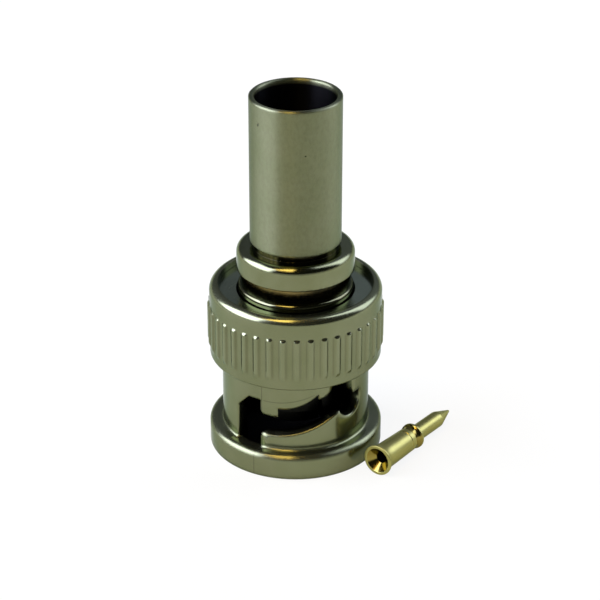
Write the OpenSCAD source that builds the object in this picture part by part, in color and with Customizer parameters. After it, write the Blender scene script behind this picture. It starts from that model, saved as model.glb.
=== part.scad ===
// BNC crimp plug with its loose crimp ferrule and centre contact.
// Lengths are in millimetres and angles in degrees. The plug stands on its mating
// end: z = 0 is the front face of the coupling nut, and +Z runs along the plug's
// axis to the cable end. Angles around the axis count from the -Y side.

/* [Coupling nut] */
// Bore that takes the barrel of the jack
nut_bore_d = 9.85; // [9.7:0.05:10]
// Outside diameter of the slotted sleeve
sleeve_d = 12.1; // [11.8:0.1:12.6]
// Diameter of the front flange
front_flange_d = 14.3; // [13.6:0.1:15]
// Thickness of the front flange
front_flange_t = 2.1; // [1.6:0.1:2.4]
// Diameter across the two lug grooves inside the front flange
lug_groove_d = 11.5; // [11.2:0.1:11.7]
// Distance from the front face to the seat of the body
seat_z = 11; // [10.4:0.1:11.6]
// Height of the rear rim above the retaining ring
rim_h = 0.6; // [0.5:0.05:1]

/* [Grip band] */
// Diameter of the smooth band that carries the ribs
band_d = 14.1; // [13.9:0.1:14.8]
// Wall between the band and the rear recess
rim_wall = 0.75; // [0.6:0.05:0.9]
// Distance from the front face to the band
band_z = 8.25; // [8.2:0.05:8.8]
// Number of ribs around the band
rib_count = 40; // [24:1:48]
// Width of a rib's crest
rib_w = 0.4; // [0.3:0.05:0.6]
// Height of a rib above the band
rib_h = 0.2; // [0.1:0.05:0.3]
// Distance from the band's front edge to the ribs
rib_start = 0.9; // [0.4:0.1:1.4]
// Length of a rib
rib_l = 3.7; // [2.4:0.1:4.2]
// Angle of the first rib
rib_angle = 0.8; // [0:0.1:9]

/* [Bayonet slots] */
// Width of the lug's entry
entry_w = 2.4; // [2.2:0.1:2.6]
// Angle of the entry
entry_angle = -39.2; // [-42:0.1:-38]
// Distance from the front face to the top of the entry
entry_top = 6.5; // [6.1:0.1:7]
// Turn from the entry to the locked lug
lock_turn = 86.6; // [85:0.1:88]
// Diameter of the pocket that holds the locked lug
pocket_d = 2.64; // [2.4:0.02:2.8]
// Distance from the front face to the middle of the pocket
pocket_z = 5.69; // [5.4:0.01:5.8]
// Distance from the front face to the lowest point of the cam edge
cam_low_z = 3.35; // [3:0.05:3.45]
// Radius of the cam edge, seen from the side
cam_r = 10.4; // [9.6:0.1:11.5]
// Distance from the front face to the lowest point of the roof over the cam
roof_low_z = 5.95; // [5.6:0.05:6]
// Radius of the roof, seen from the side
roof_r = 4.35; // [3.9:0.01:4.4]
// Distance from the roof down to the end of the stop tooth
tooth_h = 0.75; // [0.5:0.05:0.9]
// Distance from the front face to the top of the window behind the pocket
window_top = 8.1; // [7.6:0.1:8.1]

/* [Body] */
// Thickness of the coupling flange
body_flange_t = 1; // [0.8:0.1:1.2]
// Length of the hub behind the coupling flange
hub_l = 2.63; // [2.4:0.01:3]
// Depth of the undercut below the hub
undercut_depth = 0.2; // [0.1:0.05:0.3]
// Length of the undercut between hub and collar
undercut_l = 1.3; // [1:0.1:1.6]
// Radial gap between the collar and the nut's recess, where the retaining ring is seen
collar_gap = 1.5; // [1.35:0.05:1.65]
// How far the hub is set in from the collar
hub_inset = 0.1; // [0:0.05:0.3]
// Length of the collar
collar_l = 2; // [1.6:0.1:2.4]
// Radius of the collar's rounded shoulder
collar_round = 0.62; // [0.3:0.02:0.7]
// Height of the step on the collar that the ferrule stands on
ferrule_step_h = 0.47; // [0.3:0.01:0.6]
// How far the step reaches out under the ferrule's wall
ferrule_seat_w = 0.24; // [0.1:0.01:0.3]
// Outside diameter of the crimp barrel
barrel_d = 5.1; // [4.9:0.05:5.3]
// Length of the crimp barrel
barrel_l = 8.6; // [7.5:0.1:9.5]
// Bore for the cable's inner insulation
cable_bore_d = 3.9; // [3.7:0.05:4.1]

/* [Crimp ferrule] */
// Outside diameter of the ferrule
ferrule_d = 7.4; // [7.2:0.05:7.8]
// Wall of the ferrule
ferrule_wall = 0.43; // [0.35:0.01:0.5]
// Length of the ferrule
ferrule_l = 12.4; // [11:0.1:14]

/* [Spring washers and ring] */
// Height of the two wave washers together at rest
spring_h = 1.1; // [0.9:0.05:1.3]
// Thickness of the wave washers' strip
wave_t = 0.2; // [0.15:0.01:0.25]
// Number of waves around a wave washer
wave_count = 3; // [2:1:4]
// Thickness of the thrust washer
thrust_t = 0.4; // [0.3:0.05:0.5]
// Thickness of the retaining ring
ring_t = 0.5; // [0.4:0.05:0.6]
// Depth of the nut's groove for the retaining ring
groove_depth = 0.25; // [0.15:0.05:0.3]
// Gap between the ends of the retaining ring
ring_split = 1.6; // [1:0.1:3]

/* [Outer contact and insulator] */
// Diameter over the sprung tips of the outer contact
contact_tip_d = 8.1; // [8:0.02:8.2]
// Distance from the nut's front face to the tips
contact_front_z = 3.6; // [3.3:0.1:4]
// Diameter of the outer contact behind the tips
contact_d = 7.8; // [7.6:0.05:7.95]
// Length of the outer contact
contact_l = 8.8; // [8.5:0.1:9]
// Number of slots in the outer contact
finger_slots = 6; // [4:1:8]
// Width of a slot in the outer contact
finger_slot_w = 0.4; // [0.2:0.05:0.5]
// Length of the slots in the outer contact
finger_slot_l = 5; // [3:0.1:6]
// Outside diameter of the insulator
insulator_d = 6.5; // [6.3:0.05:6.6]
// Distance from the tips of the outer contact back to the insulator
insulator_setback = 1; // [0.8:0.1:1.5]
// Length of the insulator
insulator_l = 8.9; // [8.6:0.1:9.4]
// Bore at the front of the insulator, for the jack's own insulator
jack_insulator_d = 4.92; // [4.85:0.01:5]
// Depth of that bore
jack_insulator_l = 4.8; // [4.4:0.1:5.3]
// Thickness of the web that stops the centre contact
web_t = 0.8; // [0.6:0.1:1.2]
// Width of the gasket's section
gasket_w = 0.6; // [0.4:0.05:0.7]
// Thickness of the gasket
gasket_t = 0.8; // [0.6:0.1:1.2]

/* [Centre contact] */
// Overall length
pin_l = 10.8; // [10:0.1:11.5]
// Diameter of the mating pin
pin_d = 1.37; // [1.32:0.01:1.37]
// Diameter of the wire barrel where the funnel's flare starts
wire_barrel_d = 2.12; // [2:0.01:2.15]
// Diameter of the wire barrel at its front end
wire_barrel_end_d = 1.96; // [1.85:0.01:2]
// Diameter of the rim around the wire funnel
funnel_rim_d = 2.6; // [2.4:0.05:2.8]
// Diameter of the hole for the wire
wire_hole_d = 0.9; // [0.7:0.05:1.1]
// Depth of the hole for the wire
wire_hole_l = 3.9; // [3.6:0.1:4.6]
// Diameter of the collar that seats against the insulator's web
pin_collar_d = 2.2; // [2.2:0.01:2.36]
// Distance from the funnel's rim to the front of the collar
pin_collar_end = 5.4; // [5:0.1:6]
// Length of the collar
pin_collar_l = 0.5; // [0.4:0.05:0.8]
// Length of the tapered tip
pin_taper_l = 1.9; // [1.4:0.1:2.2]
// Distance from the nut's front flange to the middle of the contact's mouth
pin_away = 1.99; // [1.8:0.01:4]
// Angle around the plug at which the mouth lies
pin_bearing = 46.7; // [40:0.1:60]
// Direction in which the contact points, from the +X side
pin_heading = 53.8; // [45:0.1:75]

/* [Fits] */
// Radial clearance of the washers in the nut and around the body
slide_gap = 0.2; // [0.15:0.01:0.25]
// Radial clearance between the body's coupling flange and the nut
flange_gap = 0.3; // [0.2:0.01:0.4]
// Radial clearance between the collar and the bore of the retaining ring
ring_gap = 0.05; // [0.05:0.01:0.5]
// Clearance between the retaining ring and its groove
groove_gap = 0.05; // [0.02:0.01:0.08]
// Radial clearance between the outer contact and the gasket
gasket_gap = 0.15; // [0.05:0.01:0.2]
// Radial clearance between pieces that are pushed together
fit_gap = 0.02; // [0.01:0.01:0.03]
// Clearance between a wave washer and what it touches
touch_gap = 0.02; // [0.01:0.01:0.03]

/* [Hidden] */
$fn = 96;

nickel = [0.64, 0.64, 0.57];
satin_nickel = [0.7, 0.7, 0.63];
spring_steel = [0.5, 0.5, 0.48];
gold = [0.83, 0.66, 0.3];
white_plastic = [0.92, 0.92, 0.9];
grey_rubber = [0.2, 0.2, 0.21];

// Heights along the axis, from the front face to the cable end
flange_back = seat_z + body_flange_t;
spring_back = flange_back + spring_h;
thrust_back = spring_back + thrust_t;
ring_back = thrust_back + ring_t;
nut_l = ring_back + rim_h;
hub_top = flange_back + hub_l;
collar_z = hub_top + undercut_l;
collar_top = collar_z + collar_l;
ferrule_z = collar_top + ferrule_step_h;
barrel_top = ferrule_z + barrel_l;
contact_back = contact_front_z + contact_l;
insulator_z = contact_front_z + insulator_setback;
insulator_back = insulator_z + insulator_l;

// Radii
bore_r = nut_bore_d / 2;
sleeve_r = sleeve_d / 2;
front_flange_r = front_flange_d / 2;
band_r = band_d / 2;
recess_r = band_r - rim_wall;
groove_r = recess_r + groove_depth;
collar_r = recess_r - collar_gap;
hub_r = collar_r - hub_inset;
washer_in_r = collar_r + slide_gap;
washer_out_r = recess_r - slide_gap;
ferrule_in_r = ferrule_d / 2 - ferrule_wall;
insulator_seat_r = insulator_d / 2 + fit_gap;
contact_seat_r = contact_d / 2 + fit_gap;

// Corner sizes
edge = 0.2;
rim_land = 0.15;
rim_round = rim_wall - rim_land;
flange_round = 0.34;
front_round = 0.1;
root_round = 0.15;
cam_corner = 0.3;
tooth_corner = 0.45;
arc_steps = 8;

// How far a cut runs past the face that it opens
over = 1;

// Points of an arc about a centre, from one angle to another
function arc(centre, r, from, to) =
    [for (i = [0:arc_steps]) centre + r * [cos(from + (to - from) * i / arc_steps),
                                           sin(from + (to - from) * i / arc_steps)]];

// A core that leaves the nut sideways: its outline stands in the plane across its direction
module side_core(angle) {
    rotate([0, 0, angle])
        rotate([90, 0, 0])
            linear_extrude(height = sleeve_r + over) children();
}

// What rounds the corner where an edge at height z meets the entry: up is 1 where
// the metal lies above the edge and -1 where it lies below
module entry_corner(z, r, up) {
    side_core(entry_angle)
        translate([entry_w / 2, z]) scale([1, up])
            difference() {
                square(r);
                translate([r, r]) circle(r = r);
            }
}

module slot_entry() {
    half = entry_w / 2;
    bevel = 1.25;
    side_core(entry_angle)
        polygon([[-half, front_flange_t], [half, front_flange_t], [half, entry_top],
            [-half + bevel, entry_top], [-half, entry_top - bevel]]);
    // The lug passes inside the front flange without opening its rim
    intersection() {
        side_core(entry_angle)
            translate([-half, -over]) square([entry_w, front_flange_t + 2 * over]);
        translate([0, 0, -over]) cylinder(d = lug_groove_d, h = front_flange_t + 2 * over);
    }
}

// Outline of the track between entry and pocket, seen from the side
module track_outline() {
    start_x = -3;
    end_x = 3.75;
    cam_x = -2.4;
    roof_x = -1.2;
    tooth_end_x = -1.43;
    nose_x = 1.85;
    nose_r = 1.1;
    nose_lift = 0.8;
    nose_z = roof_low_z + nose_lift + nose_r;
    difference() {
        intersection() {
            translate([start_x, cam_low_z - 1])
                square([end_x - start_x, window_top - cam_low_z + 1]);
            translate([cam_x, cam_low_z + cam_r]) circle(r = cam_r);
        }
        translate([roof_x, roof_low_z + roof_r]) circle(r = roof_r);
        translate([start_x - 1, roof_low_z - tooth_h]) square([tooth_end_x - start_x + 1, roof_r]);
        // Nose at the end of the roof, before the window
        intersection() {
            translate([nose_x, nose_z]) circle(r = nose_r);
            translate([nose_x, roof_low_z]) square([nose_r, nose_lift + nose_r]);
        }
        translate([nose_x, nose_z]) square([nose_r, roof_r]);
    }
}

// Pocket for the locked lug, and the window behind it
module pocket_outline() {
    pocket_r = pocket_d / 2;
    window_right = 0.39;
    ceiling = 0.63;
    intersection() {
        translate([0, pocket_z]) circle(r = pocket_r);
        translate([-pocket_r, pocket_z - pocket_r]) square([pocket_d, pocket_r + ceiling]);
    }
    translate([-pocket_r, pocket_z]) square([pocket_r + window_right, window_top - pocket_z]);
}

module bayonet_slot() {
    slot_entry();
    entry_corner(cam_low_z, cam_corner, -1);
    entry_corner(roof_low_z - tooth_h, tooth_corner, 1);
    side_core(0) track_outline();
    side_core(entry_angle + lock_turn) pocket_outline();
}

module grip_ribs() {
    crest_r = band_r + rib_h;
    root = 0.3;
    foot_r = band_r - root;
    half = rib_w / 2;
    rib_z = band_z + rib_start;
    rib_end = rib_z + rib_l;
    flank = 0.16;
    intersection() {
        rotate_extrude()
            polygon([[foot_r, rib_z], [band_r, rib_z], [crest_r, rib_z + rib_h],
                [crest_r, rib_end - rib_h], [band_r, rib_end], [foot_r, rib_end]]);
        for (i = [0:rib_count - 1])
            rotate([0, 0, rib_angle + i * 360 / rib_count])
                translate([0, 0, rib_z - over])
                    linear_extrude(height = rib_l + 2 * over)
                        polygon([[-half - flank, over - foot_r], [-half - flank, -band_r],
                            [-half, -crest_r], [-half, -crest_r - over],
                            [half, -crest_r - over], [half, -crest_r],
                            [half + flank, -band_r], [half + flank, over - foot_r]]);
    }
}

module coupling_nut() {
    lead = 0.25;
    under_band = 0.2;
    inner_edge = 0.12;
    section = concat(
        [[bore_r, lead], [bore_r + lead, 0]],
        arc([front_flange_r - front_round, front_round], front_round, -90, 0),
        arc([front_flange_r - flange_round, front_flange_t - flange_round], flange_round, 0, 90),
        arc([sleeve_r + root_round, front_flange_t + root_round], root_round, 270, 180),
        [[sleeve_r, band_z], [band_r - under_band, band_z], [band_r, band_z + under_band]],
        arc([band_r - rim_round, nut_l - rim_round], rim_round, 0, 90),
        [[recess_r + inner_edge, nut_l], [recess_r, nut_l - inner_edge],
            [recess_r, ring_back], [groove_r, ring_back],
            [groove_r, thrust_back - groove_gap], [recess_r, thrust_back - groove_gap],
            [recess_r, seat_z], [bore_r, seat_z]]
    );
    color(satin_nickel) {
        difference() {
            rotate_extrude() polygon(section);
            for (side = [0, 180]) rotate([0, 0, side]) bayonet_slot();
        }
        grip_ribs();
    }
}

module connector_body() {
    flange_r = recess_r - flange_gap;
    hub_round = 0.3;
    barrel_r = barrel_d / 2;
    barrel_edge = 0.15;
    step_r = ferrule_in_r + ferrule_seat_w;
    shoulder = min(collar_round, collar_r - step_r - edge / 2);
    undercut_r = hub_r - undercut_depth;
    cable_r = cable_bore_d / 2;
    section = concat(
        [[contact_seat_r, seat_z], [flange_r, seat_z], [flange_r, flange_back], [hub_r, flange_back]],
        arc([hub_r - hub_round, hub_top - hub_round], hub_round, 0, 90),
        [[undercut_r, hub_top], [undercut_r, collar_z - edge / 2], [collar_r - edge / 2, collar_z],
            [collar_r, collar_z + edge / 2]],
        arc([collar_r - shoulder, collar_top - shoulder], shoulder, 0, 90),
        [[step_r, collar_top], [step_r, ferrule_z], [barrel_r, ferrule_z],
            [barrel_r, barrel_top - barrel_edge], [barrel_r - barrel_edge, barrel_top],
            [cable_r + barrel_edge, barrel_top], [cable_r, barrel_top - barrel_edge],
            [cable_r, insulator_back], [insulator_seat_r, insulator_back],
            [insulator_seat_r, contact_back], [contact_seat_r, contact_back]]
    );
    color(nickel) rotate_extrude() polygon(section);
}

module crimp_ferrule() {
    out_r = ferrule_d / 2;
    bevel = 0.08;
    top = ferrule_z + ferrule_l;
    color(nickel)
        rotate_extrude()
            polygon([[ferrule_in_r + bevel, ferrule_z], [out_r - bevel, ferrule_z],
                [out_r, ferrule_z + bevel], [out_r, top - bevel], [out_r - bevel, top],
                [ferrule_in_r + bevel, top], [ferrule_in_r, top - bevel],
                [ferrule_in_r, ferrule_z + bevel]]);
}

module retaining_ring() {
    out_r = groove_r - groove_gap;
    color(spring_steel)
        difference() {
            translate([0, 0, thrust_back]) cylinder(r = out_r, h = ring_t);
            translate([0, 0, thrust_back - over])
                cylinder(r = collar_r + ring_gap, h = ring_t + 2 * over);
            translate([-ring_split / 2, 0, thrust_back - over])
                cube([ring_split, out_r + over, ring_t + 2 * over]);
        }
}

module thrust_washer() {
    color(spring_steel)
        difference() {
            translate([0, 0, spring_back]) cylinder(r = washer_out_r, h = thrust_t);
            translate([0, 0, spring_back - over])
                cylinder(r = washer_in_r, h = thrust_t + 2 * over);
        }
}

// One ring of strip that waves up and down between two heights
module wave_washer(low_z, high_z) {
    steps = 48;
    mid_z = (low_z + high_z) / 2;
    swing = (high_z - low_z - wave_t) / 2;
    function ring_point(i, r, dz) =
        let (a = i * 360 / steps)
        [r * cos(a), r * sin(a), mid_z + dz + swing * cos(wave_count * a)];
    points = [for (i = [0:steps - 1])
        each [ring_point(i, washer_in_r, -wave_t / 2), ring_point(i, washer_out_r, -wave_t / 2),
            ring_point(i, washer_out_r, wave_t / 2), ring_point(i, washer_in_r, wave_t / 2)]];
    faces = [for (i = [0:steps - 1], k = [0:3])
        let (a = 4 * i + k, b = 4 * i + (k + 1) % 4, n = 4 * steps)
        [a, b, (b + 4) % n, (a + 4) % n]];
    color(spring_steel) polyhedron(points, faces, convexity = 4);
}

module rear_wave_washer() {
    wave_washer(flange_back + spring_h / 2 + touch_gap / 2, spring_back - touch_gap);
}

module front_wave_washer() {
    rotate([0, 0, 180 / wave_count])
        wave_washer(flange_back + touch_gap, flange_back + spring_h / 2 - touch_gap / 2);
}

module outer_contact() {
    tip_r = contact_tip_d / 2;
    back_r = contact_d / 2;
    tip_l = 1;
    in_r = insulator_seat_r;
    color(gold)
        difference() {
            rotate_extrude()
                polygon([[in_r, contact_front_z + edge], [in_r + edge, contact_front_z],
                    [tip_r - edge, contact_front_z], [tip_r, contact_front_z + edge],
                    [tip_r, contact_front_z + tip_l], [back_r, contact_front_z + 2 * tip_l],
                    [back_r, contact_back], [in_r, contact_back]]);
            for (i = [0:finger_slots - 1])
                rotate([0, 0, i * 360 / finger_slots])
                    translate([in_r - over, -finger_slot_w / 2, contact_front_z - over])
                        cube([tip_r, finger_slot_w, finger_slot_l + over]);
        }
}

module insulator() {
    pin_r = pin_d / 2 + fit_gap;
    web_z = insulator_z + jack_insulator_l;
    jack_r = jack_insulator_d / 2;
    collar_hole_r = pin_collar_d / 2 + fit_gap;
    color(white_plastic)
        rotate_extrude()
            polygon([[jack_r + edge, insulator_z], [insulator_d / 2, insulator_z],
                [insulator_d / 2, insulator_back], [collar_hole_r, insulator_back],
                [collar_hole_r, web_z + web_t], [pin_r, web_z + web_t], [pin_r, web_z],
                [jack_r, web_z], [jack_r, insulator_z + edge]]);
}

module gasket() {
    in_r = contact_d / 2 + gasket_gap;
    color(grey_rubber)
        translate([0, 0, seat_z - gasket_t])
            difference() {
                cylinder(r = in_r + gasket_w, h = gasket_t);
                translate([0, 0, -over]) cylinder(r = in_r, h = gasket_t + 2 * over);
            }
}

// The contact lies on its rim and its collar, so its tip points slightly down
module centre_contact() {
    mouth_from_axis = front_flange_r + pin_away;
    pin_r = pin_d / 2;
    wire_r = wire_barrel_d / 2;
    wire_end_r = wire_barrel_end_d / 2;
    rim_r = funnel_rim_d / 2;
    hole_r = wire_hole_d / 2;
    pin_collar_r = pin_collar_d / 2;
    rim_t = 0.15;
    funnel_wall = 0.25;
    flare_l = 1.3;
    neck_l = 0.43;
    neck_depth = 0.25;
    collar_bevel = 0.2;
    tip_r = 0.12;
    collar_start = pin_collar_end - pin_collar_l;
    // The flare is an arc that leaves the barrel smoothly and ends at the rim
    rise = rim_r - wire_r;
    run = flare_l - rim_t;
    flare_r = (run * run + rise * rise) / (2 * rise);
    tilt = atan((rim_r - pin_collar_r) / (pin_collar_end - collar_bevel - rim_t));
    section = concat(
        [[0, wire_hole_l], [hole_r, wire_hole_l - hole_r], [hole_r, rim_r - funnel_wall - hole_r],
            [rim_r - funnel_wall, 0], [rim_r, 0]],
        arc([wire_r + flare_r, flare_l], flare_r, 180 + asin(run / flare_r), 180),
        [[wire_end_r, collar_start - neck_l], [wire_end_r - neck_depth, collar_start - neck_l],
            [wire_end_r - neck_depth, collar_start], [pin_collar_r, collar_start],
            [pin_collar_r, pin_collar_end - collar_bevel],
            [pin_collar_r - collar_bevel, pin_collar_end], [pin_r, pin_collar_end],
            [pin_r, pin_l - pin_taper_l]],
        arc([0, pin_l - tip_r], tip_r, 20, 90)
    );
    color(gold)
        translate([mouth_from_axis * sin(pin_bearing), -mouth_from_axis * cos(pin_bearing),
                   rim_r * cos(tilt) + rim_t * sin(tilt)])
            rotate([0, 90 + tilt, pin_heading])
                rotate_extrude() polygon(section);
}

coupling_nut();
connector_body();
crimp_ferrule();
retaining_ring();
thrust_washer();
rear_wave_washer();
front_wave_washer();
outer_contact();
insulator();
gasket();
centre_contact();
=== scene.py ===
import math

import bmesh
import bpy
import numpy as np
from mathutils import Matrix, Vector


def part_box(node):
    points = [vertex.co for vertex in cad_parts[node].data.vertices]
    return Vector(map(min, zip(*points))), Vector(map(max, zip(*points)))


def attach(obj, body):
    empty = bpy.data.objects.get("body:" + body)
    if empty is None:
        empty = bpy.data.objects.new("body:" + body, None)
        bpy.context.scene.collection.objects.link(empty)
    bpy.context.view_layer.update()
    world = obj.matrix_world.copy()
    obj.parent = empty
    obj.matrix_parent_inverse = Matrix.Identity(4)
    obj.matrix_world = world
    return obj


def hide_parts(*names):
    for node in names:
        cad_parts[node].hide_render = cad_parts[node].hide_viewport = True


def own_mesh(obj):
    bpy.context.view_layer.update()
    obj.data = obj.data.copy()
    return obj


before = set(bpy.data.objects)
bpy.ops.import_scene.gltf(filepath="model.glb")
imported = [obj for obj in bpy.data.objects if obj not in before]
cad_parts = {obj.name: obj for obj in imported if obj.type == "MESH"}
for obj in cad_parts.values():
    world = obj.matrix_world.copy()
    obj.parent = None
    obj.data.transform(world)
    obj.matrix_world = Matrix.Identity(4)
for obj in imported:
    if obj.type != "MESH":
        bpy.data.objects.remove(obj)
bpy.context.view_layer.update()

MM = 0.001
DEGREES = 180 / math.pi

# Radii of the coupling nut, in millimetres
BORE_R, SLEEVE_R, BAND_R, RECESS_R, GROOVE_R = 4.925, 6.05, 7.05, 6.3, 6.55
# Heights on the coupling nut above its front face, in millimetres. The sleeve's piece ends
# at JOIN_Z, just below the band.
JOIN_Z, BAND_Z, SEAT_Z, GROOVE_Z, RING_BACK, NUT_L = 8.2, 8.25, 11.0, 13.45, 14.0, 14.6
FLANGE_T, CROWN_ROUND = 2.1, 0.68
# Radii between which the painted shade of the bore fades out
DARK_BORE = (5.2, 5.6)
# Azimuths of the mould's lines on sleeve and flange, and the height and azimuths of the curved
# one over the cam
SLEEVE_LINE, FLANGE_LINE = -27, -28.5
CAM_LINE_Z, CAM_LINE_LOWEST, CAM_LINE_FROM, CAM_LINE_TO = 6.48, -20, -26, 16
# Ribs of the grip band: heights of their ends, height above the band, and half widths
RIBS, COLUMNS_A_RIB, RIB_TURN = 40, 18, math.radians(0.8)
RIB_FROM, RIB_TO, RIB_H = 9.1, 12.87, 0.17
RIB_CREST, RIB_FOOT = 0.13, 0.34
FRONT_SLOPE, BACK_SLOPE = 0.4, 0.2

# Heights and radii on the body and the ferrule, in millimetres
HUB_TOP, COLLAR_FOOT, COLLAR_TOP, FERRULE_TOP = 14.63, 15.93, 17.93, 30.8
STEP_R, FERRULE_BORE_R = 3.51, 3.27

# Centre contact, in millimetres: its radii, and distances along it from its mouth
WIRE_HOLE_R, WIRE_HOLE_L, DRILL_END = 0.45, 3.5, 3.9
FUNNEL_R, FUNNEL_L = 1.06, 0.6
RIM_R, RIM_L, FLARE_L = 1.3, 0.15, 1.15
BARREL_R, BARREL_END_R, BARREL_L = 1.06, 0.98, 4.43
LINE_AT, LINE_R, LINE_HALF_W = 3.9, 0.955, 0.04
NECK_R, NECK_END = 0.86, 4.6
COLLAR_R, COLLAR_FOOT_R, COLLAR_FROM, COLLAR_END = 1.1, 0.88, 4.62, 5.3
PIN_R, PIN_FROM, TAPER_FROM, TIP_R, PIN_L = 0.685, 5.5, 8.9, 0.09, 10.8
AXIS_R = 0.001
PIN_COLUMNS = 144
# Its place: the mouth's distance and bearing from the plug's axis, its heading and its tilt
MOUTH_FROM_AXIS, PIN_BEARING = 9.14, math.radians(46.7)
PIN_HEADING, PIN_TILT = math.radians(53.8), math.radians(2.268)

# Noise scales, in features a metre
CLOUDS, UNEVEN, SPECKS, MOTTLE = 300, 400, 1500, 3500
RAGGED, GRAIN, SATIN, TURNING = 5000, 6000, 9000, 16000


# ---------------------------------------------------------------- materials

class Nodes:
    """A small helper that writes a material's node tree."""

    def __init__(self, name):
        self.material = bpy.data.materials.new(name)
        self.material.use_nodes = True
        self.tree = self.material.node_tree
        self.tree.nodes.clear()
        self.output = self.new("ShaderNodeOutputMaterial")
        self.position = self.new("ShaderNodeTexCoord").outputs["Object"]

    def new(self, kind, **settings):
        node = self.tree.nodes.new(kind)
        for key, value in settings.items():
            setattr(node, key, value)
        return node

    def put(self, socket, value):
        if isinstance(value, bpy.types.NodeSocket):
            self.tree.links.new(value, socket)
        else:
            socket.default_value = value

    def math(self, operation, a, b=0.0, clamp=False):
        node = self.new("ShaderNodeMath", operation=operation, use_clamp=clamp)
        self.put(node.inputs[0], a)
        self.put(node.inputs[1], b)
        return node.outputs[0]

    def attribute(self, name):
        return self.new("ShaderNodeAttribute", attribute_name=name).outputs["Fac"]

    def stretched(self, x, y, z):
        node = self.new("ShaderNodeVectorMath", operation="MULTIPLY")
        self.put(node.inputs[0], self.position)
        node.inputs[1].default_value = (x, y, z)
        return node.outputs[0]

    def noise(self, vector, scale, detail=3.0, rough=0.6):
        node = self.new("ShaderNodeTexNoise")
        self.put(node.inputs["Vector"], vector)
        node.inputs["Scale"].default_value = scale
        node.inputs["Detail"].default_value = detail
        node.inputs["Roughness"].default_value = rough
        return node.outputs[0]

    def ramp(self, value, low, high, to_low, to_high):
        node = self.new("ShaderNodeMapRange")
        self.put(node.inputs["Value"], value)
        node.inputs["From Min"].default_value = low
        node.inputs["From Max"].default_value = high
        node.inputs["To Min"].default_value = to_low
        node.inputs["To Max"].default_value = to_high
        return node.outputs[0]

    def mix(self, share, a, b):
        """Colour a, with a share of colour b."""
        node = self.new("ShaderNodeMix", data_type="RGBA")
        self.put(node.inputs[0], share)
        for socket, colour in ((node.inputs[6], a), (node.inputs[7], b)):
            self.put(socket, (*colour, 1) if isinstance(colour, tuple) else colour)
        return node.outputs[2]

    def bump(self, height, strength, distance, normal=None):
        node = self.new("ShaderNodeBump")
        self.put(node.inputs["Height"], height)
        node.inputs["Strength"].default_value = strength
        node.inputs["Distance"].default_value = distance
        if normal is not None:
            self.put(node.inputs["Normal"], normal)
        return node.outputs[0]

    def principled(self, **values):
        node = self.new("ShaderNodeBsdfPrincipled")
        for key, value in values.items():
            self.put(node.inputs[key.replace("_", " ")], value)
        return node.outputs[0]

    def mixed_shader(self, share, a, b):
        node = self.new("ShaderNodeMixShader")
        for socket, value in zip(node.inputs, (share, a, b)):
            self.put(socket, value)
        return node.outputs[0]

    def finished(self, surface):
        self.tree.links.new(surface, self.output.inputs["Surface"])
        return self.material


def axis_distance(n):
    """Millimetres from the plug's axis."""
    node = n.new("ShaderNodeVectorMath", operation="LENGTH")
    n.put(node.inputs[0], n.stretched(1 / MM, 1 / MM, 0))
    return node.outputs["Value"]


def height_of(n):
    """Millimetres above the floor."""
    node = n.new("ShaderNodeSeparateXYZ")
    n.put(node.inputs[0], n.stretched(0, 0, 1 / MM))
    return node.outputs[2]


def azimuth_of(n):
    """Degrees round the axis, from the front (-Y) towards the right (+X)."""
    parts = n.new("ShaderNodeSeparateXYZ")
    n.put(parts.inputs[0], n.position)
    x, y, z = parts.outputs
    angle = n.math("ARCTAN2", x, n.math("MULTIPLY", y, -1))
    return n.math("MULTIPLY", angle, DEGREES)


def stripe(n, value, middle, half_width):
    """1 on a soft-edged stripe round the middle, and 0 beside it."""
    off = n.math("ABSOLUTE", n.math("SUBTRACT", value, middle))
    return n.ramp(off, half_width * 0.4, half_width, 1, 0)


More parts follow.
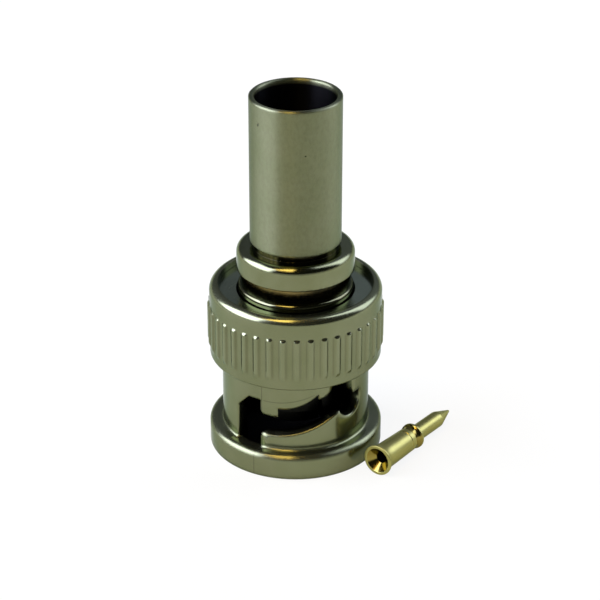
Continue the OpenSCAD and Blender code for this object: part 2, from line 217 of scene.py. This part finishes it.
def plated(name, colour, stain, rough, spread, grain=0.25, brushed=0.0, specks=0.0, aniso=0.0,
           round_r=None, shade=None, along=None, haze=0.0):
    """Plated metal: satin grain, fine turning lines, slightly uneven plating and dark specks.

    The lines run round the plug's axis, or across the length that the attribute in along gives.
    round_r gives the radius of worn edges, and shade paints marks over the colour.
    """
    n = Nodes(name)
    blotch = n.ramp(n.noise(n.stretched(1, 1, 1), CLOUDS, 4), 0.35, 0.7, 0, 1)
    base = n.mix(blotch, colour, stain)
    fine = n.noise(n.stretched(1, 1, 1), SATIN, 2)
    roughness = n.ramp(fine, 0.3, 0.7, rough - spread, rough + spread)
    height = fine
    if brushed:
        if along:
            course = n.new("ShaderNodeCombineXYZ")
            n.put(course.inputs[0], n.attribute(along))
            lines = n.noise(course.outputs[0], TURNING, 3, 0.7)
        else:
            lines = n.noise(n.stretched(0.02, 0.02, 1), TURNING, 3, 0.7)
        roughness = n.math("ADD", roughness, n.ramp(lines, 0.3, 0.7, -spread, spread))
        height = n.math("ADD", n.math("MULTIPLY", fine, grain),
                        n.math("MULTIPLY", lines, brushed))
    if specks:
        dots = n.noise(n.stretched(1, 1, 1), SPECKS, 1, 0.3)
        base = n.mix(n.ramp(dots, 0.79, 0.81, 0, specks), base, (0.01, 0.01, 0.008))
    if shade:
        base = shade(n, base)
    # The pin's painted shade mark also makes its plating glossier
    if along:
        roughness = n.math("MULTIPLY", roughness, n.ramp(n.attribute("painted_dark"), 0, 1, 1, 0.3))
    soft_edge = None
    if round_r:
        worn = n.new("ShaderNodeBevel", samples=8)
        n.put(worn.inputs["Radius"], round_r(n))
        soft_edge = worn.outputs[0]
    around = n.new("ShaderNodeTangent", direction_type="RADIAL", axis="Z")
    looks = dict(Base_Color=base, Metallic=1.0, Normal=n.bump(height, 0.25, 0.004 * MM, soft_edge),
                 Anisotropic=aniso, Anisotropic_Rotation=0.25, Tangent=around.outputs[0],
                 Specular_Tint=(0.55, 0.6, 0.55, 1))
    surface = n.principled(Roughness=roughness, **looks)
    if haze:
        surface = n.mixed_shader(haze, surface, n.principled(Roughness=0.55, **looks))
    return n.finished(surface)


def moulded(name, colour, rough):
    """Plastic or rubber with a fine grain and slightly uneven colour."""
    n = Nodes(name)
    grain = n.noise(n.stretched(1, 1, 1), GRAIN, 3)
    uneven = n.ramp(n.noise(n.stretched(1, 1, 1), UNEVEN, 3), 0.3, 0.7, 0, 1)
    return n.finished(n.principled(
        Base_Color=n.mix(uneven, colour, tuple(c * 0.88 for c in colour)),
        Roughness=n.ramp(grain, 0.3, 0.7, rough - 0.06, rough + 0.06),
        Normal=n.bump(grain, 0.3, 0.01 * MM)))


def nut_corners(n):
    """The front flange and the cams are worn round, and the ribs are crisp."""
    worn = n.ramp(axis_distance(n), SLEEVE_R + 0.25, SLEEVE_R + 0.65, 0.4 * MM, 0.8 * MM)
    return n.math("MULTIPLY", worn, n.ramp(height_of(n), JOIN_Z - 0.2, JOIN_Z + 0.2, 1, 0.2))


def body_corners(n):
    """The collar's edge is rounder than the hub's bead."""
    outer = n.ramp(axis_distance(n), 4.1, 4.3, 0.04 * MM, 0.5 * MM)
    above_foot = n.ramp(height_of(n), COLLAR_FOOT + 0.27, COLLAR_FOOT + 0.87, 0.08, 1)
    return n.math("MULTIPLY", outer, above_foot)


def ferrule_corners(n):
    return 0.3 * MM


def mould_lines(n):
    """Thin lines where the mould's cores met, two upright and one over the cam."""
    around, height = azimuth_of(n), height_of(n)
    on_sleeve = n.math("MULTIPLY", stripe(n, around, SLEEVE_LINE, 0.45),
                       n.ramp(height, FLANGE_T + 0.1, FLANGE_T + 0.15, 0, 1))
    on_flange = n.math("MULTIPLY", stripe(n, around, FLANGE_LINE, 0.4),
                       n.ramp(height, FLANGE_T - 0.2, FLANGE_T - 0.15, 1, 0))
    bend = n.math("POWER", n.math("SUBTRACT", around, CAM_LINE_LOWEST), 2)
    curved = n.math("SUBTRACT", height, n.math("MULTIPLY", bend, 0.0006))
    over_cam = n.math("MULTIPLY", stripe(n, curved, CAM_LINE_Z, 0.05),
                      n.ramp(around, CAM_LINE_FROM, CAM_LINE_FROM + 1, 0, 1))
    over_cam = n.math("MULTIPLY", over_cam, n.ramp(around, CAM_LINE_TO - 2, CAM_LINE_TO, 1, 0))
    lines = n.math("ADD", on_sleeve, n.math("ADD", on_flange, over_cam))
    return n.math("MULTIPLY", lines, n.ramp(height, JOIN_Z - 0.05, JOIN_Z, 0.55, 0))


def cast_lines_and_painted_light(n, base):
    """Painted shade in the bore, on the recess wall and beside the ribs, a painted highlight on
    the rib crests, and the mould lines.
    """
    # Painted shade: the bore goes near black inside DARK_BORE
    base = n.mix(n.ramp(axis_distance(n), *DARK_BORE, 1, 0), base, (0.02, 0.018, 0.012))
    # Painted shade on the recess wall above the ring groove
    recess = n.math("MULTIPLY", n.ramp(axis_distance(n), RECESS_R + 0.02, RECESS_R + 0.12, 0.8, 0),
                    n.ramp(height_of(n), GROOVE_Z - 0.05, GROOVE_Z + 0.15, 0, 1))
    base = n.mix(recess, base, (0.04, 0.037, 0.022))
    # Painted shade at the ribs' left feet and on their right flanks
    base = n.mix(n.attribute("painted_dark"), base, (0.07, 0.062, 0.035))
    # Painted highlight on the rib crests
    base = n.mix(n.attribute("painted_highlight"), base, (0.3, 0.32, 0.21))
    return n.mix(mould_lines(n), base, (0.06, 0.055, 0.035))


def undercut_painted_shade(n, base):
    """Painted shade in the undercut and in the gap behind the ferrule's step, with a ragged edge
    and a painted brown glint along its top on the left.
    """
    ragged = n.noise(n.stretched(1, 1, 0.6), RAGGED, 4, 0.7)
    height = n.math("ADD", height_of(n), n.ramp(ragged, 0.3, 0.7, -0.22, 0.22))
    # Painted shade under the collar, down to the hub
    undercut = n.math("MULTIPLY", n.ramp(height, COLLAR_FOOT - 0.08, COLLAR_FOOT + 0.17, 1, 0),
                      n.ramp(height, HUB_TOP - 0.13, HUB_TOP + 0.27, 0.3, 0.92))
    # Painted shade in the gap under the ferrule's foot
    step = n.math("MULTIPLY", n.ramp(height_of(n), COLLAR_TOP - 0.08, COLLAR_TOP + 0.02, 0, 0.9),
                  n.ramp(axis_distance(n), STEP_R + 0.01, STEP_R + 0.21, 1, 0))
    shade_colour = n.mix(n.ramp(ragged, 0.45, 0.75, 0, 1), (0.02, 0.016, 0.008), (0.09, 0.068, 0.028))
    # Painted reflection: a brown-gold glint band along the shade's top edge, on the left half,
    # fading out towards the right
    edge = n.math("MULTIPLY", stripe(n, height, COLLAR_FOOT - 0.18, 0.4),
                  n.ramp(azimuth_of(n), 0, 20, 1, 0))
    shade_colour = n.mix(edge, shade_colour, (0.2, 0.15, 0.055))
    return n.mix(n.math("MAXIMUM", undercut, step), base, shade_colour)


def ferrule_mottle_and_painted_shade(n, base):
    """Mottled plating outside, and painted shade that darkens the bore below a bright lip."""
    mottle = n.noise(n.stretched(1, 1, 0.6), MOTTLE, 3, 0.7)
    base = n.mix(n.ramp(mottle, 0.4, 0.75, 0, 0.45), base, (0.12, 0.125, 0.07))
    # Painted shade: the bore goes near black below the ferrule's top
    dark = n.math("MULTIPLY",
                  n.ramp(axis_distance(n), FERRULE_BORE_R + 0.07, FERRULE_BORE_R + 0.11, 1, 0),
                  n.ramp(height_of(n), FERRULE_TOP - 0.45, FERRULE_TOP - 0.25, 1, 0))
    return n.mix(dark, base, (0.01, 0.01, 0.01))


def pin_painted_shade(n, base):
    # Painted shade: darker brown gold where the pin's painted_dark mark lies
    return n.mix(n.attribute("painted_dark"), base, (0.23, 0.175, 0.035))


NICKEL = (0.186, 0.199, 0.112)
cast_nickel = plated("cast_nickel", NICKEL, (0.16, 0.177, 0.092), 0.18, 0.03,
                     round_r=nut_corners, shade=cast_lines_and_painted_light, haze=0.12)
turned_nickel = plated("turned_nickel", NICKEL, (0.15, 0.162, 0.08), 0.14, 0.03,
                       grain=0.2, brushed=0.4, aniso=0.5,
                       round_r=body_corners, shade=undercut_painted_shade)
drawn_nickel = plated("drawn_nickel", NICKEL, (0.162, 0.18, 0.095), 0.36, 0.03,
                      grain=0.2, brushed=0.6, specks=0.8, aniso=0.85,
                      round_r=ferrule_corners, shade=ferrule_mottle_and_painted_shade)
# A near-black copy of the nickel: painted shade for the outer contact inside the nut
painted_shade_nickel = plated("painted_shade_nickel", (0.008, 0.008, 0.007), (0.005, 0.005, 0.004), 0.3, 0.03,
                      grain=0.2, brushed=0.4)
sprung_steel = plated("sprung_steel", (0.27, 0.31, 0.2), (0.22, 0.25, 0.16), 0.22, 0.04,
                      grain=0.2, brushed=0.5)
gold_plate = plated("gold_plate", (0.35, 0.335, 0.105), (0.31, 0.29, 0.085), 0.36, 0.03,
                    grain=0.1, brushed=0.25, shade=pin_painted_shade, along="along")
white_plastic = moulded("white_plastic", (0.8, 0.79, 0.75), 0.4)
grey_rubber = moulded("grey_rubber", (0.03, 0.03, 0.032), 0.6)

FINISHES = {
    "coupling_nut": cast_nickel,
    "connector_body": turned_nickel,
    "crimp_ferrule": drawn_nickel,
    "retaining_ring": sprung_steel,
    "thrust_washer": sprung_steel,
    "rear_wave_washer": sprung_steel,
    "front_wave_washer": sprung_steel,
    "outer_contact": painted_shade_nickel,
    "insulator": white_plastic,
    "gasket": grey_rubber,
    "centre_contact": gold_plate,
}
for node_name, finish in FINISHES.items():
    for material_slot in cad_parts[node_name].material_slots:
        material_slot.material = finish


# ---------------------------------------------------------------- mesh helpers

def linked_object(name, mesh):
    piece = bpy.data.objects.new(name, mesh)
    bpy.context.scene.collection.objects.link(piece)
    return piece


def fillet(before, corner, after, radius, steps=7):
    """Points that round a corner of an outline."""
    corner, before, after = (np.array(p, float) for p in (corner, before, after))
    to_before = (before - corner) / np.linalg.norm(before - corner)
    to_after = (after - corner) / np.linalg.norm(after - corner)
    half = math.acos(np.clip(to_before @ to_after, -1, 1)) / 2
    reach = radius / math.tan(half)
    middle = to_before + to_after
    centre = corner + middle / np.linalg.norm(middle) * radius / math.sin(half)
    start = corner + to_before * reach - centre
    end = corner + to_after * reach - centre
    turn = math.acos(np.clip(start @ end / radius ** 2, -1, 1))
    return [centre + (start * math.sin((1 - t) * turn) + end * math.sin(t * turn)) / math.sin(turn)
            for t in np.linspace(0, 1, steps)]


def closed_outline(corners, support=0.03):
    """Corners (r, z, radius), rounded, with a row beside each of them for clean shading."""
    arcs = []
    for i, (r, z, radius) in enumerate(corners):
        before, after = corners[i - 1][:2], corners[(i + 1) % len(corners)][:2]
        arcs.append(fillet(before, (r, z), after, radius, 12 if radius > 0.3 else 6))
    rows = []
    for i, arc in enumerate(arcs):
        rows.extend(arc)
        start, end = arc[-1], arcs[(i + 1) % len(arcs)][0]
        length = np.linalg.norm(end - start)
        if length > 3 * support:
            along = (end - start) / length
            rows += [start + along * support, end - along * support]
    return np.array(rows)


def soft_ramp(x, low, high, soft):
    """A straight ramp with small rounded ends."""
    steps = np.linspace(-soft, soft, 7)
    return np.mean([np.clip((x + d - low) / (high - low), 0, 1) for d in steps], axis=0)


def mesh_from_grid(name, points, finish, ring=True):
    """Rows of points round an axis. A ring of rows closes on itself, and others get end caps."""
    rows, columns = points.shape[:2]
    index = np.arange(rows * columns).reshape(rows, columns)
    below, right = np.roll(index, -1, 0), np.roll(index, -1, 1)
    quads = np.stack([index, right, np.roll(below, -1, 1), below], -1)
    faces = (quads if ring else quads[:-1]).reshape(-1, 4).tolist()
    if not ring:
        faces += [index[0][::-1].tolist(), index[-1].tolist()]
    mesh = bpy.data.meshes.new(name)
    mesh.from_pydata((points.reshape(-1, 3) * MM).tolist(), [], faces)
    mesh.polygons.foreach_set("use_smooth", np.ones(len(faces), bool))
    mesh.materials.append(finish)
    mesh.update()
    return linked_object(name, mesh)


def mark(piece, label, values):
    """A value for each point of the mesh, for its material to read."""
    attribute = piece.data.attributes.new(label, "FLOAT", "POINT")
    attribute.data.foreach_set("value", values.astype(np.float32))


# ---------------------------------------------------------------- wave washers

def squashed_copy(node_name):
    piece = linked_object(node_name + "_strip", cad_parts[node_name].data.copy())
    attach(piece, "plug_body")
    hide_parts(node_name)
    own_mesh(piece)


for washer in ("rear_wave_washer", "front_wave_washer"):
    squashed_copy(washer)


# ---------------------------------------------------------------- coupling nut

def grip_rows():
    """The outline of the nut behind the slots, with extra rows where the ribs are."""
    rows = closed_outline([
        (BORE_R, JOIN_Z, 0.01), (SLEEVE_R, JOIN_Z, 0.01), (SLEEVE_R, BAND_Z, 0.02),
        (BAND_R, BAND_Z, 0.22), (BAND_R, NUT_L, CROWN_ROUND), (RECESS_R, NUT_L, 0.06),
        (RECESS_R, RING_BACK, 0.02), (GROOVE_R, RING_BACK, 0.02), (GROOVE_R, GROOVE_Z, 0.02),
        (RECESS_R, GROOVE_Z, 0.02), (RECESS_R, SEAT_Z, 0.1), (BORE_R, SEAT_Z, 0.05)])
    # The band's side is the one straight wall at that radius, longer than 3 mm
    on_wall = rows[:, 0] > BAND_R - 0.001
    side = int(np.argmax(on_wall[:-1] & on_wall[1:] & (np.diff(rows[:, 1]) > 3)))
    # Close rows at the ribs' ends, and two between
    heights = np.concatenate([np.linspace(RIB_FROM - 0.1, RIB_FROM + 0.5, 12), [10.2, 11.2],
                              np.linspace(RIB_TO - 0.34, RIB_TO + 0.08, 13)])
    extra = np.stack([np.full(len(heights), BAND_R), heights], 1)
    return np.concatenate([rows[:side + 1], extra, rows[side + 1:]])


def make_grip():
    """The nut behind the slots: ribbed band, rounded crown, recess and ring groove."""
    rows = grip_rows()
    columns = RIBS * COLUMNS_A_RIB
    angle = np.arange(columns) * 2 * math.pi / columns + RIB_TURN
    pitch = 2 * math.pi * BAND_R / RIBS
    offset = ((np.arange(columns) / COLUMNS_A_RIB + 0.5) % 1 - 0.5) * pitch
    across = soft_ramp(-np.abs(offset), -RIB_FOOT, -RIB_CREST, 0.06)
    r, z = rows[:, 0], rows[:, 1]
    ends = np.minimum(soft_ramp(z, RIB_FROM, RIB_FROM + FRONT_SLOPE, 0.08),
                      soft_ramp(-z, -RIB_TO, -RIB_TO + BACK_SLOPE, 0.05))
    on_band = (r > BAND_R - 0.001) & (z > RIB_FROM - 0.2) & (z < RIB_TO + 0.2)
    ends = np.where(on_band, ends, 0)
    radius = r[:, None] + np.outer(ends, across) * RIB_H
    points = np.stack([radius * np.sin(angle), -radius * np.cos(angle),
                       np.broadcast_to(z[:, None], radius.shape)], -1)
    piece = mesh_from_grid("grip_band", points, cast_nickel)
    # Painted shade at each rib's left foot and on its right flank, and a painted highlight on its
    # crest
    left_foot = 0.38 * np.exp(-((offset + RIB_FOOT) / 0.05) ** 2)
    right_flank = 0.32 * np.exp(-((offset - 0.26) / 0.09) ** 2)
    crest = 0.15 * (np.abs(offset) < RIB_CREST + 0.02)
    mark(piece, "painted_dark", np.outer(ends, left_foot + right_flank).ravel())
    mark(piece, "painted_highlight", np.outer(ends, crest).ravel())
    return piece


def make_sleeve():
    """The slotted sleeve and front flange, cut from the nut's own solid below the band."""
    shape = bmesh.new()
    shape.from_mesh(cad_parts["coupling_nut"].data)
    everything = shape.verts[:] + shape.edges[:] + shape.faces[:]
    bmesh.ops.bisect_plane(shape, geom=everything, dist=1e-8, plane_co=(0, 0, JOIN_Z * MM),
                           plane_no=(0, 0, 1), clear_outer=True)
    bmesh.ops.remove_doubles(shape, verts=shape.verts[:], dist=1e-7)
    for face in shape.faces:
        face.smooth = True
    mesh = bpy.data.meshes.new("slotted_sleeve")
    shape.to_mesh(mesh)
    shape.free()
    mesh.set_sharp_from_angle(angle=math.radians(28))
    mesh.materials.append(cast_nickel)
    return linked_object("slotted_sleeve", mesh)


# ---------------------------------------------------------------- centre contact

def pin_rows():
    """Rows from the bottom of the wire hole, out over the rim and on to the tip."""
    mouth = [(AXIS_R, DRILL_END, 0), (WIRE_HOLE_R, WIRE_HOLE_L, 0.05),
             (WIRE_HOLE_R, FUNNEL_L, 0.05), (FUNNEL_R, 0.0, 0.04),
             (RIM_R, 0.0, 0.06), (RIM_R, RIM_L, 0.06)]
    flare = [(BARREL_R + (RIM_R - BARREL_R) * (1 - math.sin(t)),
              RIM_L + FLARE_L * (1 - math.cos(t)), 0) for t in np.linspace(0.45, 1.5, 10)]
    barrel = [(BARREL_R, RIM_L + FLARE_L + 0.1, 0),
              (LINE_R + 0.04, LINE_AT - LINE_HALF_W, 0.02), (LINE_R, LINE_AT, 0.02),
              (LINE_R + 0.038, LINE_AT + LINE_HALF_W, 0.02),
              (BARREL_END_R, BARREL_L, 0.06), (NECK_R, BARREL_L + 0.03, 0.03),
              (NECK_R, NECK_END, 0.1)]
    collar = [(COLLAR_FOOT_R + (COLLAR_R - COLLAR_FOOT_R) * (1 - math.cos(t)),
               COLLAR_FROM + 0.5 * math.sin(t), 0) for t in np.linspace(0.3, 1.5, 8)]
    front = [(COLLAR_R, COLLAR_END, 0.06), (0.93, COLLAR_END + 0.12, 0.05),
             (PIN_R + 0.035, PIN_FROM - 0.04, 0.04), (PIN_R, PIN_FROM, 0.03),
             (PIN_R, TAPER_FROM, 0.9), (TIP_R, PIN_L - 0.02, 0.06), (AXIS_R, PIN_L, 0)]
    corners = mouth + flare + barrel + collar + front
    rows = []
    for i, (r, s, radius) in enumerate(corners):
        if radius:
            arc = fillet(corners[i - 1][:2], (r, s), corners[i + 1][:2], radius, 6)
            if rows and np.linalg.norm(arc[0] - rows[-1]) > 0.12:
                away = (arc[0] - rows[-1]) / np.linalg.norm(arc[0] - rows[-1])
                rows += [rows[-1] + 0.03 * away, arc[0] - 0.03 * away]
            rows += arc
        else:
            rows.append(np.array((r, s)))
    return np.array(rows)


def make_pin():
    """The gold-plated centre contact, lying on its rim and its collar."""
    rows = pin_rows()
    r, s = rows[:, 0], rows[:, 1]
    angle = np.arange(PIN_COLUMNS) * 2 * math.pi / PIN_COLUMNS
    lean = math.pi / 2 + PIN_TILT
    course = np.array([math.sin(lean) * math.cos(PIN_HEADING),
                       math.sin(lean) * math.sin(PIN_HEADING), math.cos(lean)])
    side = np.array([-math.sin(PIN_HEADING), math.cos(PIN_HEADING), 0])
    up = np.cross(course, side)
    mouth = np.array([MOUTH_FROM_AXIS * math.sin(PIN_BEARING),
                      -MOUTH_FROM_AXIS * math.cos(PIN_BEARING),
                      RIM_R * math.cos(PIN_TILT) + RIM_L * math.sin(PIN_TILT)])
    spoke = np.cos(angle)[:, None] * side + np.sin(angle)[:, None] * up
    points = mouth + s[:, None, None] * course + r[:, None, None] * spoke[None]
    piece = mesh_from_grid("turned_pin", points, gold_plate, ring=False)
    # Painted shade in the funnel, round the neck and in the thin turned line, where the plating is
    # also glossier
    funnel_end = int(np.argmax(r > FUNNEL_R - 0.02))
    painted_dark = np.where(np.arange(len(rows)) < funnel_end, 0.85, 0)
    painted_dark = np.maximum(painted_dark, 0.8 * ((s > BARREL_L - 0.01) & (s < COLLAR_FROM + 0.5)))
    painted_dark = np.maximum(painted_dark, 0.6 * (np.abs(s - LINE_AT) < 0.03))
    painted_dark[r > COLLAR_R - 0.01] = 0
    mark(piece, "painted_dark", np.repeat(painted_dark, PIN_COLUMNS))
    mark(piece, "along", np.repeat(s * MM, PIN_COLUMNS))
    return piece


pin = make_pin()
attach(pin, "plug_body")
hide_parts("centre_contact")

for nut_piece in (make_grip(), make_sleeve()):
    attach(nut_piece, "nut")
    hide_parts("coupling_nut")


# ---------------------------------------------------------------- stage

FLOOR_HALF = 1.5
SEEN_WHITE, MIRRORED_WHITE = 0.88, 0.3
# Painted light on the floor: paper darker in front of the object and paler beside it, which the
# metal reflects
PAPER_FRONT, PAPER_BESIDE = (0.63, 0.66, 0.51), (0.78, 0.84, 0.72)


def make_stage():
    """A pale floor, which the camera sees as white. Under the nut its paper is painted near black,
    a painted shade, and round the object it is paler beside than in front, a painted light on the
    floor.
    """
    mesh = bpy.data.meshes.new("floor")
    a = FLOOR_HALF
    mesh.from_pydata([(-a, -a, 0), (a, -a, 0), (a, a, 0), (-a, a, 0)], [], [(0, 1, 2, 3)])
    floor = linked_object("floor", mesh)
    floor.location.z = -0.02 * MM
    n = Nodes("floor_white")
    path = n.new("ShaderNodeLightPath")
    mirrored = n.math("ADD", path.outputs["Is Glossy Ray"], path.outputs["Is Transmission Ray"],
                      clamp=True)
    shown = n.math("ADD", n.math("MULTIPLY", path.outputs["Is Camera Ray"], SEEN_WHITE),
                   n.math("MULTIPLY", mirrored, MIRRORED_WHITE), clamp=True)
    low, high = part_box("coupling_nut")
    nut_reach = high.x / MM
    outside = n.ramp(axis_distance(n), nut_reach - 0.8, nut_reach - 0.4, 0, 1)
    shown = n.math("MULTIPLY", shown, outside)
    white = n.new("ShaderNodeEmission")
    white.inputs["Color"].default_value = (1, 1, 1, 1)
    white.inputs["Strength"].default_value = 1
    # Painted light: the paper grows paler beside the object
    beside = n.ramp(n.math("ABSOLUTE", azimuth_of(n)), 25, 85, 0, 1)
    pale = n.mix(beside, PAPER_FRONT, PAPER_BESIDE)
    paper = n.new("ShaderNodeBsdfDiffuse")
    # Painted shade: the paper is near black under the nut
    n.put(paper.inputs["Color"], n.mix(outside, (0.01, 0.01, 0.01), pale))
    mesh.materials.append(n.finished(n.mixed_shader(shown, paper.outputs[0], white.outputs[0])))


class Sky(Nodes):
    """The world's node tree, with soft panels placed by azimuth and height in degrees.

    Azimuth counts from the front (-Y) towards the right (+X).
    """

    def __init__(self, world):
        self.tree = world.node_tree
        self.tree.nodes.clear()
        self.output = self.new("ShaderNodeOutputWorld")
        self.position = self.new("ShaderNodeTexCoord").outputs["Generated"]
        parts = self.new("ShaderNodeSeparateXYZ")
        self.put(parts.inputs[0], self.position)
        self.azimuth = azimuth_of(self)
        self.height = self.math("MULTIPLY", self.math("ARCSINE", parts.outputs[2]), DEGREES)

    def smooth(self, value, low, high):
        node = self.new("ShaderNodeMapRange", interpolation_type="SMOOTHSTEP")
        self.put(node.inputs["Value"], value)
        node.inputs["From Min"].default_value = low
        node.inputs["From Max"].default_value = high
        return node.outputs[0]

    def span(self, value, low, high, soft):
        up = self.smooth(value, low - soft, low + soft)
        down = self.smooth(value, high + soft, high - soft)
        return self.math("MULTIPLY", up, down)

    def panel(self, azimuths, heights, soft, colour):
        share = self.math("MULTIPLY", self.span(self.azimuth, *azimuths, soft),
                          self.span(self.height, *heights, soft))
        node = self.new("ShaderNodeVectorMath", operation="SCALE")
        node.inputs[0].default_value = colour
        self.put(node.inputs["Scale"], share)
        return node.outputs[0]

    def total(self, colours):
        result = colours[0]
        for colour in colours[1:]:
            node = self.new("ShaderNodeVectorMath", operation="ADD")
            self.put(node.inputs[0], result)
            self.put(node.inputs[1], colour)
            result = node.outputs[0]
        return result


ALL_ROUND = (-400, 400)
# Azimuths, heights, softness of the edges, and colour of each panel
PANELS = {
    "room": (ALL_ROUND, (-100, 100), 1, (0.02, 0.022, 0.02)),
    "horizon": (ALL_ROUND, (-100, 8), 3, (0.9, 0.9, 0.9)),
    "left": ((-116, -50), (12, 54), 6, (8.4, 8.6, 12)),
    "warm, above the front": ((-60, -8), (55, 88), 4, (8.5, 5.6, 2)),
    "right": ((95, 130), (14, 72), 6, (3.8, 4, 5.5)),
    "back left": ((-190, -118), (12, 60), 8, (0.15, 0.16, 0.23)),
    "back right": ((124, 190), (12, 60), 8, (0.26, 0.28, 0.42)),
}


def make_light():
    """Soft studio light: a pale horizon, and soft panels in a dim room."""
    world = bpy.data.worlds.new("studio")
    bpy.context.scene.world = world
    world.use_nodes = True
    sky = Sky(world)
    back = sky.new("ShaderNodeBackground")
    sky.put(back.inputs["Color"], sky.total([sky.panel(*looks) for looks in PANELS.values()]))
    sky.tree.links.new(back.outputs[0], sky.output.inputs["Surface"])


VIEW_ANGLE = 27.54


def make_camera():
    """The photo's view from the front, fitted to the object's outline in it."""
    data = bpy.data.cameras.new("camera")
    data.sensor_width = 36
    data.lens = 127.17
    data.shift_x = 0.00725
    data.clip_start = 0.01
    data.clip_end = 10
    camera = bpy.data.objects.new("camera", data)
    bpy.context.scene.collection.objects.link(camera)
    camera.location = (0, -0.15336, 0.09276)
    camera.rotation_euler = (math.radians(90 - VIEW_ANGLE), 0, 0)
    bpy.context.scene.camera = camera


make_stage()
make_light()
make_camera()
bpy.context.scene.view_settings.view_transform = "Standard"

bpy.context.view_layer.update()
